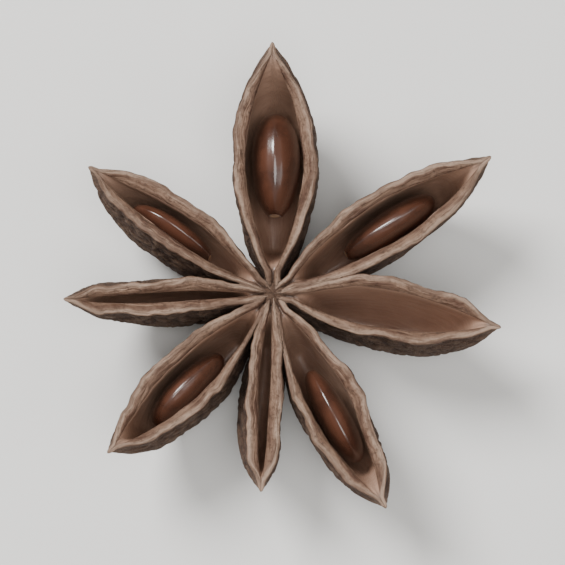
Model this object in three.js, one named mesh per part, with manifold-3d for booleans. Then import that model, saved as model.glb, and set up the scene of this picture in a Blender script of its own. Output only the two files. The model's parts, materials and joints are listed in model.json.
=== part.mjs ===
// A dried star anise pod, lying mouth up. Millimetres, +Z up.
//
// Eight boat-shaped follicles stand like spokes round a short central column and are one
// woody piece with it and with the stub of the broken stalk below. Each follicle has split
// along its upper seam, some wide and some hardly at all, and five of them still hold their
// seed. The pod rests on the keels of its follicles and on the flat end of the stub.
//
// The origin is the centre of the stub's flat end, on the plane that the pod rests on.
import * as THREE from "three";
import { mergeVertices } from "three/addons/utils/BufferGeometryUtils.js";
import Module from "manifold-3d";

const wasm = await Module();
wasm.setup();

// ---- Driving dimensions ----------------------------------------------------------------
const REACH = 14.2; // hub axis to the longest beak
const RIM_HEIGHT = 6.85; // lips above the resting plane at mid length
const HUB_HEIGHT = 5.6; // where the lips of all follicles meet
const FOLLICLE_DEPTH = 6.9; // rim to keel of the deepest follicle
const FOLLICLE_WIDTH = 5.0; // across the fullest follicle
const WALL = 0.6; // thickness of a follicle's side wall
const KEEL_WALL = 0.75; // thickness along the keel
const LIP = 0.7; // width of the cut edge that rims each mouth
const LIP_ROUNDING = 0.22; // height of the lip's rounded edge
const SEAM = 0.07; // half width of the groove where the lips still touch
const SEAM_DEPTH = 0.4; // depth of that groove
const BEAK_DEPTH = 1.0; // depth of the solid beak where it leaves the boat
const BEAK_HALF_WIDTH = 0.4;
const BEAK_POINT = 0.13; // half width of the beak at its very tip
const STALK_RADIUS = 0.95;
const RECEPTACLE_RADIUS = 2.3; // the swelling that the follicles grow from
const COLUMN_RADIUS = 1.0; // the short column at the hub, where the follicles' inner ends meet
const COLUMN_SHOULDER = 0.5; // the column's full radius ends this far below the lips
const DIMPLE = 0.35; // depth of the dimple in the middle of the hub
const DIMPLE_RADIUS = 0.45;
const DIMPLE_RAISED = 0.035; // the dimple's middle stands this far above its rim
const SEED_THICKNESS = 2.8; // of the thickest seed, which lies on edge
const SEED_HEIGHT = 4.7; // of a seed in a follicle of full depth
const SEED_CLEARANCE = 0.3; // seed to the wall of its follicle
const WRINKLE = 0.11; // height of the coarse wrinkles on the flanks
const WRINKLE_SETS = [
  { height: 1, along: 19, up: 5, shift: 1 },
  { height: 0.7, along: 31, up: -7, shift: 2 },
]; // two sets that cross slantwise: share of the height, and turns of the wave each way
const SIDE_SHIFT = 0.03; // the two flanks of a follicle are wrinkled this much out of step
const HUB_HALF_WIDTH = 0.45; // of a follicle, at its inner end
const HUB_POINT = 0.07; // half width that neighbours leave free over the hub's axis
const FUSING = 0.1; // how far the flanks of neighbours grow into each other near the hub

// The hub's outline from the stub's flat end upwards: the share of each radius, and the height.
const STALK_OUTLINE = [
  [1, 0],
  [0.92, 0.6],
  [1.25, 0.9],
];
const RECEPTACLE_OUTLINE = [
  [0.8, 1.2],
  [1, 1.6],
  [0.85, 2.3],
  [0.5, 3.2],
];

// ---- Shares of a follicle's length, from the hub axis at 0 to the beak's tip at 1 --------
const INNER_END = 0.02; // a follicle begins here, just clear of the axis
const DIMPLE_END = 0.1; // the dimple in the hub reaches out to here
const RIM_LEVEL = 0.45; // the lips have climbed from the hub to their full height here
const RISE_START = 0.7; // the beak's rise begins here
const FULLEST = 0.54; // where a follicle is widest
const DEEPEST = 0.5;
const MOUTH_START = 0.09; // the lips part here
const MOUTH_END = 0.955; // and meet again here
const HOLLOW_START = 0.1; // the groove between the lips begins to deepen here
const HOLLOW_SLOPE = 0.14; // and is a full hollow this much further out
const HOLLOW_CLOSING = 0.8; // the floor begins to rise to the beak here
const HOLLOW_RISE = 0.14; // and is a groove again this much further out
const BEAK_START = 0.8; // the sides begin to close on the beak here
const SLIM_START = 0.82; // the lips and the seam begin to slim towards the tip here
const BOAT_END = 0.985; // the hollow boat has narrowed to the beak here
const DEPTH_TAPER = [2.1, 0.85]; // squareness and bluntness of the boat's end, seen from the side
const WIDTH_TAPER = [2.2, 0.85]; // and seen from above
const MOUTH_SKEW = 0.95; // under 1, the mouth is widest nearer the hub
const MOUTH_POINT = 0.9; // how sharp the two ends of the mouth are
const SEED_CENTRE = 0.55;
const SEED_LENGTH = 0.43;
const SEED_BLUNTNESS = 0.1; // how much fuller a seed's outer end is

// ---- Shares of a section ---------------------------------------------------------------
const HUB_DEPTH_SHARE = 0.66; // depth at the hub, of the full depth
const HUB_SHARE = 0.96; // of the angle to its neighbours that a follicle may fill near the hub
const CLOSED_BELLY = 0.42; // height of the fullest level where the lips touch, of the depth
const OPEN_BELLY = 0.62; // and where they gape widest: it has spread nearer the lips
const WIDEST_GAPE = 0.7; // the gape that spreads it so far
const LEAST_TOP = 0.3; // the top is never narrower than this, of the full width
const HUB_LIP_SHARE = 0.55; // width of a lip at the hub, of its full width
const TIP_SLIMNESS = 0.2; // size of lips and seam at the tip, of their full size
const LIP_FLAT = [0.72, 0.22]; // where the flat of a lip ends, from its inner to its outer edge
const TURN_BELOW = 1.4; // the inner wall turns in no nearer the rim than this, in lip roundings

// Eight follicles, counter-clockwise from the wide open one. reach, depth and width are shares
// of the driving ones, and gape is the mouth's share of the width. curl bends the beak sideways
// and rise lifts it, in millimetres; lean rolls the follicle on its keel, in degrees.
const FOLLICLES = [
  // angle, reach, depth, width, gape, curl, rise, lean, whether a seed still lies in it
  [88, 0.985, 1.01, 1.0, 0.62, 0.3, 0.5, -3, true],
  [146, 0.87, 0.93, 0.7, 0.42, 0.6, 0.3, 9, true],
  [183, 0.81, 0.9, 0.56, 0.18, -0.5, 0.7, -8, false],
  [229, 0.9, 1.0, 0.77, 0.54, -0.4, 0.4, 6, true],
  [263, 0.79, 0.89, 0.54, 0.2, 0.45, 0.2, -5, false],
  [296, 0.96, 1.01, 0.75, 0.57, 0.5, 0.6, 4, true],
  [350, 0.9, 1.0, 0.71, 0.58, -0.35, 0.3, -6, false],
  [391, 1.0, 1.0, 0.76, 0.6, 0.4, 0.8, 5, true],
].map(([angle, reach, depth, width, gape, curl, rise, lean, seed]) => {
  return { angle, reach, depth, width, gape, curl, rise, lean, seed };
});

// ---- Faceting --------------------------------------------------------------------------
const STATIONS = 20; // sections along a follicle
const KEEL_STEPS = 4; // points from the keel to the fullest level of a flank
const FLANK_STEPS = 3; // and from there to the lip
const HOLLOW_STEPS = 3; // points down each inner wall
const HUB_SEGMENTS = 24;
const SEED_SEGMENTS = 16;
const CROWDING = 0.7; // how far the stations crowd towards the beak, where the outline turns fastest
const CROWDING_POWER = 1.5; // and how sharply they do
const MERGE_TOLERANCE = 1e-4; // points nearer than this are one

const clamp01 = (x) => Math.min(1, Math.max(0, x));
const smooth = (x) => clamp01(x) ** 2 * (3 - 2 * clamp01(x));
const mix = THREE.MathUtils.lerp;

// ---- The outline of a follicle along its length ------------------------------------------
const reachOf = (f) => f.reach * REACH;

function rimHeight(f, t) {
  const dimple = DIMPLE * (1 - smooth(t / DIMPLE_END));
  const lift = f.rise * clamp01((t - RISE_START) / (1 - RISE_START)) ** 2;
  return mix(HUB_HEIGHT, RIM_HEIGHT, smooth(t / RIM_LEVEL)) - dimple + lift;
}

// The size of the rounded boat beyond its largest section, from 1 down to 0 at the beak. A
// higher squareness keeps it full for longer, and a lower bluntness ends it more steeply.
const boatTaper = (t, start, squareness, bluntness) =>
  (1 - clamp01((t - start) / (BOAT_END - start)) ** squareness) ** bluntness;

function depthAt(f, t) {
  const beak = mix(BEAK_DEPTH, 2 * BEAK_POINT, smooth((t - BEAK_START) / (1 - BEAK_START)));
  const towardsHub = mix(HUB_DEPTH_SHARE, 1, Math.sin(Math.PI * Math.min(t, DEEPEST)));
  const boat = t < DEEPEST ? towardsHub : boatTaper(t, DEEPEST, ...DEPTH_TAPER);
  return beak + (f.depth * FOLLICLE_DEPTH - beak) * boat;
}

function halfWidthAt(f, t) {
  const full = (f.width * FOLLICLE_WIDTH) / 2;
  if (t < FULLEST) return mix(HUB_HALF_WIDTH, full, Math.sin(((Math.PI / 2) * t) / FULLEST));
  const beak = mix(BEAK_HALF_WIDTH, BEAK_POINT, smooth((t - BEAK_START) / (1 - BEAK_START)));
  return beak + (full - beak) * boatTaper(t, FULLEST, ...WIDTH_TAPER);
}

// The half width that the neighbour on one side leaves free, out to the line midway to it.
function freeWidthAt(f, t, sign) {
  const others = FOLLICLES.filter((other) => other !== f);
  const turns = others.map((other) => THREE.MathUtils.euclideanModulo(sign * (other.angle - f.angle), 360));
  const share = THREE.MathUtils.degToRad((HUB_SHARE * Math.min(...turns)) / 2);
  return HUB_POINT + Math.tan(share) * Math.max(INNER_END, t) * reachOf(f);
}

// How open the mouth is, from 0 where the lips touch to 1 at its widest. The mouth is a lens
// with pointed ends.
function mouthAt(t) {
  const along = clamp01((t - MOUTH_START) / (MOUTH_END - MOUTH_START));
  return Math.sin(Math.PI * along ** MOUTH_SKEW) ** MOUTH_POINT;
}
const slimming = (t) => mix(1, TIP_SLIMNESS, smooth((t - SLIM_START) / (1 - SLIM_START)));
const lipAt = (t) => LIP * slimming(t) * mix(HUB_LIP_SHARE, 1, smooth(t / RIM_LEVEL));
const gapeAt = (f, t) => SEAM * slimming(t) + mouthAt(t) * ((f.gape * f.width * FOLLICLE_WIDTH) / 2);

// How deep the hollow is, from 0, a mere groove, to 1, down to the keel's wall.
function hollowAt(t) {
  const closing = smooth((t - HOLLOW_CLOSING) / HOLLOW_RISE);
  return smooth((t - HOLLOW_START) / HOLLOW_SLOPE) * (1 - closing);
}

const bellyOf = (f) => mix(CLOSED_BELLY, OPEN_BELLY, clamp01(f.gape / WIDEST_GAPE));

function hollowAtStation(f, t) {
  const rim = rimHeight(f, t);
  const depth = depthAt(f, t);
  const share = hollowAt(t);
  return {
    floor: mix(rim - SEAM_DEPTH * slimming(t), rim - depth + KEEL_WALL, share),
    halfWidth: mix(gapeAt(f, t), Math.max(gapeAt(f, t), halfWidthAt(f, t) - WALL), share),
  };
}

// How far the wrinkles stand out. They fade towards the keel and the ends of the mouth.
function wrinkle(f, t, level) {
  const waves = WRINKLE_SETS.map((set) => {
    return set.height * Math.sin(set.along * t + set.up * level + set.shift * f.angle);
  });
  return WRINKLE * (waves[0] + waves[1]) * level * mouthAt(t);
}

// One section as a closed ring of [sideways, height] points: up the right flank from the
// keel, over the lip, down the hollow, and the same back up and down the left side.
function sectionRing(f, t) {
  const rim = rimHeight(f, t);
  const depth = depthAt(f, t);
  const keel = rim - depth;
  const level = keel + depth * bellyOf(f);
  const gape = gapeAt(f, t);
  const edge = LIP_ROUNDING * slimming(t);
  const hollow = hollowAtStation(f, t);
  // The inner wall turns in towards the floor here, always between the lip and the floor.
  const turn = Math.max(Math.min(level, rim - TURN_BELOW * edge), mix(hollow.floor, rim - edge, 0.5));

  const side = (sign) => {
    const free = freeWidthAt(f, t, sign);
    const full = Math.min(halfWidthAt(f, t), free + FUSING);
    const lipOuter = Math.min(Math.max(gape + lipAt(t), full * LEAST_TOP), free);
    const points = [];
    for (let i = 1; i <= KEEL_STEPS; i++) {
      const a = (i / KEEL_STEPS) * (Math.PI / 2);
      const swell = wrinkle(f, t + SIDE_SHIFT * sign, i / KEEL_STEPS);
      points.push([full * Math.sin(a) + swell, level - (level - keel) * Math.cos(a)]);
    }
    for (let i = 1; i <= FLANK_STEPS; i++) {
      const s = i / FLANK_STEPS;
      const swell = i < FLANK_STEPS ? wrinkle(f, t + SIDE_SHIFT * sign, 1 - s / 2) : 0;
      points.push([mix(full, lipOuter, smooth(s)) + swell, mix(level, rim - edge, s)]);
    }
    for (const share of LIP_FLAT) points.push([mix(gape, lipOuter, share), rim]);
    points.push([gape, rim - edge]);
    for (let i = 1; i <= HOLLOW_STEPS; i++) {
      const a = (i / (HOLLOW_STEPS + 1)) * (Math.PI / 2);
      points.push([hollow.halfWidth * Math.cos(a), turn - (turn - hollow.floor) * Math.sin(a)]);
    }
    return points.map(([v, w]) => [sign * v, w]);
  };
  return [[0, keel], ...side(1), [0, hollow.floor], ...side(-1).reverse()];
}

// ---- Solids ----------------------------------------------------------------------------
// Bends, leans and turns a point of a follicle's own frame into the pod's frame.
function placeInPod(f, t, v, w) {
  const swing = smooth(t);
  const lean = THREE.MathUtils.degToRad(f.lean) * swing;
  const pivot = RIM_HEIGHT / 2;
  const sideways = v * Math.cos(lean) - (w - pivot) * Math.sin(lean) + f.curl * t * t;
  const height = pivot + v * Math.sin(lean) + (w - pivot) * Math.cos(lean);
  const along = Math.max(INNER_END, t) * reachOf(f);
  const turn = THREE.MathUtils.degToRad(f.angle);
  return [
    along * Math.cos(turn) - sideways * Math.sin(turn),
    along * Math.sin(turn) + sideways * Math.cos(turn),
    height,
  ];
}

const stationShare = (i) => {
  const s = i / (STATIONS - 1);
  return mix(s, 1 - (1 - s) ** CROWDING_POWER, CROWDING);
};

function follicleGeometry(f) {
  const rings = Array.from({ length: STATIONS }, (_, i) => {
    const t = stationShare(i);
    return sectionRing(f, t).map(([v, w]) => placeInPod(f, t, v, w));
  });
  const size = rings[0].length;
  const index = [];
  for (let i = 0; i + 1 < rings.length; i++)
    for (let j = 0; j < size; j++) {
      const a = i * size + j;
      const b = i * size + ((j + 1) % size);
      index.push(a, b, a + size, b, b + size, a + size);
    }
  const capOf = (t) => {
    const contour = sectionRing(f, t).map(([v, w]) => new THREE.Vector2(v, w));
    return THREE.ShapeUtils.triangulateShape(contour, []);
  };
  const last = (rings.length - 1) * size;
  for (const [a, b, c] of capOf(stationShare(0))) index.push(a, c, b);
  for (const [a, b, c] of capOf(stationShare(STATIONS - 1))) index.push(last + a, last + b, last + c);
  const geometry = new THREE.BufferGeometry();
  geometry.setAttribute("position", new THREE.Float32BufferAttribute(rings.flat(2), 3));
  geometry.setIndex(index);
  return geometry;
}

// The stalk's stub, the receptacle that the follicles grow from, and the column between them.
function hubGeometry() {
  const profile = [
    [0, 0],
    ...STALK_OUTLINE.map(([share, z]) => [share * STALK_RADIUS, z]),
    ...RECEPTACLE_OUTLINE.map(([share, z]) => [share * RECEPTACLE_RADIUS, z]),
    [COLUMN_RADIUS, HUB_HEIGHT - COLUMN_SHOULDER],
    [DIMPLE_RADIUS, HUB_HEIGHT - DIMPLE],
    [0, HUB_HEIGHT - DIMPLE + DIMPLE_RAISED],
  ];
  return new THREE.LatheGeometry(
    profile.map(([r, z]) => new THREE.Vector2(r, z)),
    HUB_SEGMENTS,
  ).rotateX(Math.PI / 2);
}

// A flattened egg, on edge in the follicle's hollow, blunt end outwards.
function seedGeometry(f) {
  const hollow = hollowAtStation(f, SEED_CENTRE);
  const halfThickness = Math.min(SEED_THICKNESS / 2, hollow.halfWidth - SEED_CLEARANCE);
  const halfLength = (reachOf(f) * SEED_LENGTH) / 2;
  const halfHeight = (f.depth * SEED_HEIGHT) / 2;
  const centre = hollow.floor + SEED_CLEARANCE + halfHeight;
  const geometry = new THREE.SphereGeometry(1, SEED_SEGMENTS, SEED_SEGMENTS / 2 + 2);
  const position = geometry.attributes.position;
  for (let i = 0; i < position.count; i++) {
    const [x, y, z] = [position.getX(i), position.getY(i), position.getZ(i)];
    const blunt = 1 + SEED_BLUNTNESS * x;
    const share = SEED_CENTRE + (x * halfLength) / reachOf(f);
    position.setXYZ(i, ...placeInPod(f, share, y * halfThickness * blunt, centre + z * halfHeight * blunt));
  }
  return geometry;
}

function toSolid(geometry) {
  const bare = new THREE.BufferGeometry();
  bare.setAttribute("position", geometry.getAttribute("position"));
  bare.setIndex(geometry.index);
  const merged = mergeVertices(bare, MERGE_TOLERANCE);
  return new wasm.Manifold(
    new wasm.Mesh({
      numProp: 3,
      vertProperties: merged.attributes.position.array,
      triVerts: new Uint32Array(merged.index.array),
    }),
  );
}

function toGeometry(solid) {
  const mesh = solid.getMesh();
  const geometry = new THREE.BufferGeometry();
  geometry.setAttribute("position", new THREE.BufferAttribute(mesh.vertProperties, 3));
  geometry.setIndex(new THREE.BufferAttribute(mesh.triVerts, 1));
  geometry.computeVertexNormals();
  return geometry;
}

function fruitGeometry() {
  const below = new THREE.BoxGeometry(4 * REACH, 4 * REACH, 2).translate(0, 0, -1);
  return toGeometry(
    FOLLICLES.map((f) => toSolid(follicleGeometry(f)))
      .reduce((whole, follicle) => whole.add(follicle), toSolid(hubGeometry()))
      .subtract(toSolid(below)),
  );
}

// ---- The pod ---------------------------------------------------------------------------
const huskFinish = new THREE.MeshStandardMaterial({ color: 0x6c503d, roughness: 0.85, metalness: 0 });
const seedFinish = new THREE.MeshStandardMaterial({ color: 0x553222, roughness: 0.25, metalness: 0 });

function namedMesh(name, geometry, material) {
  const mesh = new THREE.Mesh(geometry, material);
  mesh.name = name;
  return mesh;
}

const pod = new THREE.Group();
pod.add(namedMesh("husk", fruitGeometry(), huskFinish));
FOLLICLES.filter((f) => f.seed).forEach((f, i) => {
  pod.add(namedMesh(`seed_${i + 1}`, seedGeometry(f), seedFinish));
});

export default pod;
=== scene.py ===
"""Grows the finish of a dried star anise pod, lying mouth up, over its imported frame.

The husk is one woody piece: eight boat-shaped follicles, the short column that they meet at,
and the stub of the broken stalk below. Five of the follicles still hold a glossy seed.
"""

import json
import math
from collections import namedtuple

import bmesh
import bpy
import numpy as np
from bpy.props import FloatProperty, FloatVectorProperty, IntProperty, PointerProperty
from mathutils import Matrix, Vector
from mathutils.kdtree import KDTree

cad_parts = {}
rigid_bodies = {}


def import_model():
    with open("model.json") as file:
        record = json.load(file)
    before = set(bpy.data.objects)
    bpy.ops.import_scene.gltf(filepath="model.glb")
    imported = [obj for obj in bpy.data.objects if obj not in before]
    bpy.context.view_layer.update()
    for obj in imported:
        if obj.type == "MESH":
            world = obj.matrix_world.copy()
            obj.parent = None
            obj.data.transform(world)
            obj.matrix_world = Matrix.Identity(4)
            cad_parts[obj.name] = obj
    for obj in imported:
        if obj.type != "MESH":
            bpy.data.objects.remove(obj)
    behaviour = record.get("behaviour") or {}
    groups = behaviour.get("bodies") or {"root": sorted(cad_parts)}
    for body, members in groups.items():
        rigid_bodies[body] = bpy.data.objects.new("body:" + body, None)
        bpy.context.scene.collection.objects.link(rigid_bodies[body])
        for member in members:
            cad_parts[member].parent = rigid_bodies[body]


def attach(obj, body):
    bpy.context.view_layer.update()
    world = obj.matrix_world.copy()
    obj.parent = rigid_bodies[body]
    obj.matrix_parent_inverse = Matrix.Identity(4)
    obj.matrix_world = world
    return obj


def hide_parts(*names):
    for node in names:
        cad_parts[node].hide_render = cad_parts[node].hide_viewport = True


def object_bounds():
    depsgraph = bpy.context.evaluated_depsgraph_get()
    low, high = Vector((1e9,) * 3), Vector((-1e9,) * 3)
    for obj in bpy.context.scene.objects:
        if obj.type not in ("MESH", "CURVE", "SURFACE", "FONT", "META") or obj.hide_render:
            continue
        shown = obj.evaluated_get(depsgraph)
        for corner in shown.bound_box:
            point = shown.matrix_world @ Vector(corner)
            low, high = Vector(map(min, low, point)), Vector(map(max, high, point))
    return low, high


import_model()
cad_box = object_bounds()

bl_info = {
    "name": "Star Anise Pod",
    "version": (1, 0, 0),
    "blender": (4, 5, 0),
    "location": "View3D > Sidebar > Star Anise",
    "description": "Grows a dried star anise pod with its seeds, and lights it on a pale floor",
    "category": "Add Mesh",
}

BODY = "root"
MM = 0.001

# One follicle: its angle in degrees round the hub; reach, depth and width as shares of the
# pod's own; gape, the mouth's share of the width; how far its beak curls sideways and rises,
# in millimetres; how far it leans, in degrees; and whether a seed still lies in it.
Follicle = namedtuple("Follicle", "angle reach depth width gape curl rise lean seed")
FOLLICLES = (
    Follicle(88, 0.985, 1.01, 1.00, 0.62, 0.30, 0.5, -3, True),
    Follicle(146, 0.87, 0.93, 0.70, 0.42, 0.60, 0.3, 9, True),
    Follicle(183, 0.81, 0.90, 0.56, 0.18, -0.50, 0.7, -8, False),
    Follicle(229, 0.90, 1.00, 0.77, 0.54, -0.40, 0.4, 6, True),
    Follicle(263, 0.79, 0.89, 0.54, 0.20, 0.45, 0.2, -5, False),
    Follicle(296, 0.96, 1.01, 0.75, 0.57, 0.50, 0.6, 4, True),
    Follicle(350, 0.90, 1.00, 0.71, 0.58, -0.35, 0.3, -6, False),
    Follicle(391, 1.00, 1.00, 0.76, 0.60, 0.40, 0.8, 5, True),
)


# ---- Settings ----
def length(name, description, default):
    """A length in metres for a property group."""
    return FloatProperty(
        name=name, description=description, default=default, min=0, unit="LENGTH", precision=5
    )


def power(name, description, default):
    """A lamp's power in watts for a property group."""
    return FloatProperty(name=name, description=description, default=default, min=0, unit="POWER")


def colour(name, description, default):
    """A linear colour for a property group."""
    return FloatVectorProperty(
        name=name, description=description, default=default, size=3, min=0, max=1, subtype="COLOR"
    )


class AnisePodSizes(bpy.types.PropertyGroup):
    """Sizes of the husk and its seeds."""

    # The first follicle points along +Y, so the frame's box ends at its beak.
    reach: length("Reach", "Hub axis to the longest beak", cad_box[1][1] / FOLLICLES[0].reach)
    rim_height: length("Rim height", "Lips above the floor at mid length", 6.85 * MM)
    hub_height: length("Hub height", "Where the lips of all follicles meet", 5.6 * MM)
    dimple: length("Dimple", "Depth of the dimple in the middle of the hub", 0.35 * MM)
    depth: length("Depth", "Rim to keel of the deepest follicle", 6.9 * MM)
    width: length("Width", "Across the fullest follicle", 5.0 * MM)
    wall: length("Wall", "Thickness of a follicle's side", 0.6 * MM)
    keel_wall: length("Keel wall", "Thickness along the keel", 0.75 * MM)
    lip: length("Lip", "Width of the cut edge round each mouth", 0.7 * MM)
    lip_slope: length("Lip slope", "Drop of a lip from its outer to its inner edge", 0.22 * MM)
    stalk_radius: length("Stalk", "Radius of the broken stalk", 0.95 * MM)
    receptacle_radius: length("Receptacle", "Radius of the swelling under the follicles", 2.3 * MM)
    column_radius: length("Column", "Radius of the column at the hub", 1.0 * MM)
    wrinkle: length("Wrinkles", "Depth of the deepest creases in the skin", 0.17 * MM)
    dent: length("Dents", "How far the flanks have fallen in on drying", 0.2 * MM)
    seed_thickness: length("Seed thickness", "Of the thickest seed, which lies on edge", 2.8 * MM)
    seed_height: length("Seed height", "Of the highest seed", 4.7 * MM)
    seed_gap: length("Seed gap", "Free space between a seed and its follicle", 0.37 * MM)
    stations: IntProperty(
        name="Stations", description="Sections along each follicle", default=92, min=24
    )


class AnisePodColours(bpy.types.PropertyGroup):
    """Colours of the husk and its seeds."""

    # Painted shade: this dark colour fills the creases, the folds and the shut seams; it is also
    # the skin's stains, grit and the specks left on the lips.
    skin_dark_and_shade: colour("Skin, dark", "The creases of the outer skin", (0.037, 0.019, 0.0125))
    skin: colour("Skin", "The outer skin", (0.086, 0.047, 0.030))
    # Painted highlight on the skin's ridges, partly dust.
    skin_pale_and_lit: colour("Skin, pale", "Dusty ridges of the outer skin", (0.156, 0.097, 0.063))
    lip: colour("Lip", "The cut edges round the mouths", (0.155, 0.092, 0.060))
    # Painted highlight along the lips' crests, partly rubbed; also the rubbed beak tips.
    lip_worn_and_lit: colour("Lip, worn", "Where the lips are rubbed", (0.312, 0.222, 0.164))
    lip_dark: colour("Lip, dark", "Streaks and stains on the lips", (0.064, 0.029, 0.016))
    lining: colour("Lining", "The smooth inside of a follicle", (0.348, 0.220, 0.157))
    # Painted shade: the colour of the lining down in the hollow.
    lining_shade: colour("Lining, deep", "The lining down in the hollow", (0.206, 0.114, 0.077))
    seed: colour("Seed", "The seed coat", (0.068, 0.026, 0.015))
    seed_dark: colour("Seed, dark", "Clouding of the seed coat", (0.034, 0.013, 0.008))
    hilum: colour("Hilum", "The scar at a seed's narrow end", (0.36, 0.23, 0.13))


class AnisePodStage(bpy.types.PropertyGroup):
    """The floor, the lights and the camera."""

    floor: colour("Floor", "The plain floor", (0.62, 0.61, 0.59))
    key_power: power("Key", "Power of the key light", 2.1)
    top_power: power("Top", "Power of the wide light overhead", 1.3)
    fill_power: power("Fill", "Power of the fill light", 0.4)
    elevation: FloatProperty(
        name="Elevation", description="Camera above the floor",
        default=math.radians(80), subtype="ANGLE",
    )
    view_height: length("View height", "Height of the camera's view at the pod", 32 * MM)
    lens: FloatProperty(
        name="Lens", description="Focal length in millimetres", default=150, min=20
    )


# ---- Curves and noise ----
def clamp01(x):
    return np.clip(x, 0.0, 1.0)


def smooth(x):
    """A smooth step, from 0 at 0 to 1 at 1."""
    return clamp01(x) ** 2 * (3 - 2 * clamp01(x))


def mix(a, b, share):
    """From a to b. It takes numbers, arrays and the wires of a finish alike."""
    return a + (b - a) * share


class Noise:
    """Smooth gradient noise in space, from about -1 to 1, the same on every run."""

    TABLE = 256
    GAIN = 1.6  # brings the blended slopes up to the full range

    def __init__(self, seed):
        draw = np.random.default_rng(seed)
        self.order = np.concatenate([draw.permutation(self.TABLE)] * 2)
        slopes = draw.normal(size=(self.TABLE, 3))
        self.slopes = slopes / np.linalg.norm(slopes, axis=1)[:, None]

    def __call__(self, x, y, z=0.0):
        point = np.stack(np.broadcast_arrays(x, y, z), -1).astype(float)
        cell = np.floor(point).astype(int)
        inside = point - cell
        ease = inside**3 * (inside * (inside * 6 - 15) + 10)
        total = np.zeros(point.shape[:-1])
        for corner in np.ndindex(2, 2, 2):
            corner = np.array(corner)
            i, j, k = np.moveaxis((cell + corner) % self.TABLE, -1, 0)
            slope = self.slopes[self.order[self.order[self.order[i] + j] + k]]
            weight = np.prod(np.where(corner, ease, 1 - ease), -1)
            total += weight * np.sum(slope * (inside - corner), -1)
        return total * self.GAIN


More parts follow.
